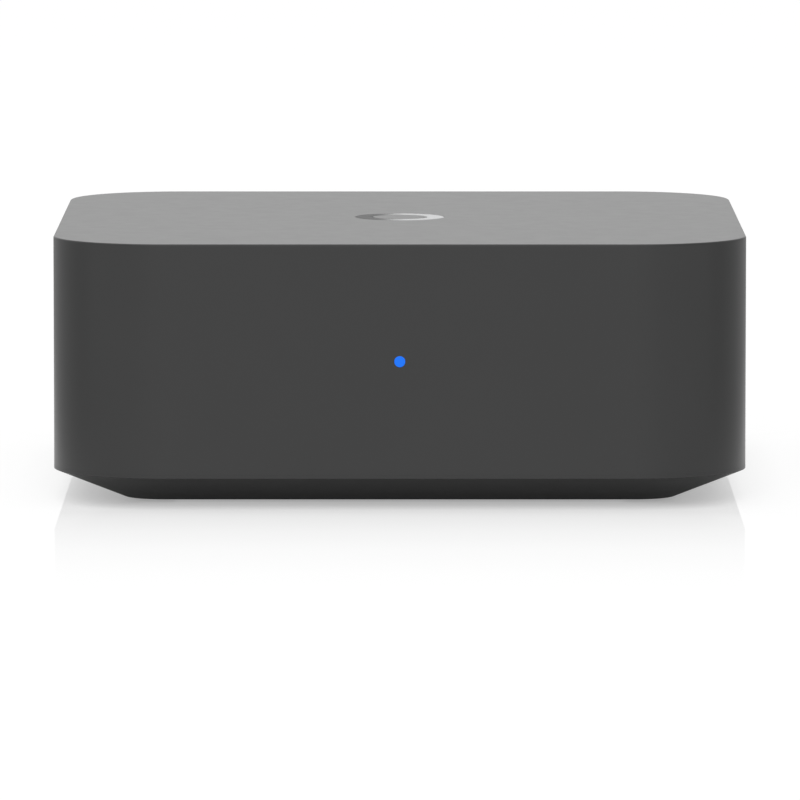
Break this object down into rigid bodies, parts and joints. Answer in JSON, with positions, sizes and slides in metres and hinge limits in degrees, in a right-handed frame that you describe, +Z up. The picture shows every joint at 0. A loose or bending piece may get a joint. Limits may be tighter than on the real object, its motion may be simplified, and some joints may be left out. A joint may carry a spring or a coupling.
{
  "type": "network music streamer",
  "caption": "Compact square network music streamer with round corners, a bevelled foot, a small front status light and network, power, optical and line sockets at the rear.",
  "frame": {"origin": "middle of the foot pad's underside, on the surface the case stands on", "axes": "+Z up, +Y towards the rear panel, the status light faces -Y"},
  "size_m": [0.13, 0.1384, 0.0495],
  "materials": {
    "case_plastic": "satin dark grey moulding",
    "panel_plastic": "fine-textured black moulding",
    "inlay_metal": "spun and polished",
    "pad_rubber": "soft matt silicone",
    "light_acrylic": "clear acrylic, lit blue",
    "screw_steel": "blackened steel",
    "board_laminate": "dark green solder mask",
    "chip_epoxy": "black epoxy",
    "crystal_can": "nickel can",
    "small_part_ceramic": "tan ceramic with tinned ends",
    "shield_tin": "tinned sheet",
    "sink_aluminium": "black anodised",
    "thermal_silicone": "soft blue-grey gap pad",
    "pin_plastic": "white nylon",
    "can_aluminium": "bare can",
    "ferrite": "moulded ferrite",
    "jack_plastic": "black moulding",
    "contact_gold": "gold flash",
    "window_plastic": "tinted clear window",
    "optic_plastic": "dark red clear moulding",
    "barrel_plating": "nickel plating",
    "insulator_white": "white moulding",
    "insulator_red": "red moulding",
    "antenna_film": "flexible printed film",
    "lead_jacket": "black jacket",
    "button_plastic": "dark grey moulding",
    "plunger_plastic": "ivory moulding"
  },
  "bodies": {
    "case": {"top_housing": "case_plastic", "base_cover": "case_plastic", "rear_io_panel": "panel_plastic", "inlay_ring": "inlay_metal", "foot_pad": "pad_rubber", "light_pipe": "light_acrylic", "case_screws": "screw_steel", "board_screws": "screw_steel", "panel_screws": "screw_steel", "main_board": "board_laminate", "processor": "chip_epoxy", "memory_chips": "chip_epoxy", "storage_chip": "chip_epoxy", "audio_converter": "chip_epoxy", "output_amplifiers": "chip_epoxy", "clock_crystals": "crystal_can", "chip_parts": "small_part_ceramic", "status_diode": "light_acrylic", "signal_capacitors": "can_aluminium", "supply_capacitors": "can_aluminium", "power_inductors": "ferrite", "network_transformer": "chip_epoxy", "heat_sink": "sink_aluminium", "thermal_pad": "thermal_silicone", "heat_sink_pins": "pin_plastic", "wireless_board": "board_laminate", "wireless_shield": "shield_tin", "antenna_left": "antenna_film", "antenna_right": "antenna_film", "antenna_lead_left": "lead_jacket", "antenna_lead_right": "lead_jacket", "network_jack_shield": "shield_tin", "network_jack_insert": "jack_plastic", "network_jack_contacts": "contact_gold", "network_jack_windows": "window_plastic", "power_inlet_shell": "shield_tin", "power_inlet_tongue": "jack_plastic", "optical_out_housing": "jack_plastic", "optical_out_pin": "screw_steel", "optical_out_emitter": "optic_plastic", "optical_in_housing": "jack_plastic", "optical_in_pin": "screw_steel", "optical_in_receiver": "optic_plastic", "line_in_block": "jack_plastic", "line_out_block": "jack_plastic", "line_in_left_barrel": "barrel_plating", "line_in_right_barrel": "barrel_plating", "line_out_left_barrel": "barrel_plating", "line_out_right_barrel": "barrel_plating", "line_in_left_insulator": "insulator_white", "line_in_right_insulator": "insulator_red", "line_out_left_insulator": "insulator_white", "line_out_right_insulator": "insulator_red", "centre_contacts": "contact_gold", "reset_switch_body": "jack_plastic"},
    "reset_button": {"reset_button": "button_plastic"},
    "switch_plunger": {"reset_switch_plunger": "plunger_plastic"},
    "optical_out_shutter": {"optical_out_shutter": "jack_plastic"},
    "optical_in_shutter": {"optical_in_shutter": "jack_plastic"}
  },
  "joints": [
    {"name": "reset_press", "type": "slide", "parent": "case", "child": "reset_button", "axis": [0, -1, 0], "range_m": [0, 0.0005], "stiffness_N_per_m": 500, "springref_m": -0.0005},
    {"name": "switch_travel", "type": "slide", "parent": "case", "child": "switch_plunger", "axis": [0, -1, 0], "range_m": [0, 0.0005]},
    {"name": "optical_out_flap", "type": "hinge", "parent": "case", "child": "optical_out_shutter", "pos_m": [0.00576, 0.06235, 0.01805], "axis": [-1, 0, 0], "range_deg": [0, 88], "stiffness_Nm_per_rad": 0.0006, "springref_deg": -22.92},
    {"name": "optical_in_flap", "type": "hinge", "parent": "case", "child": "optical_in_shutter", "pos_m": [-0.00724, 0.06235, 0.01805], "axis": [-1, 0, 0], "range_deg": [0, 88], "stiffness_Nm_per_rad": 0.0006, "springref_deg": -22.92}
  ],
  "couplings": [
    {"joint": "switch_travel", "follows": "reset_press", "ratio": 1}
  ]
}
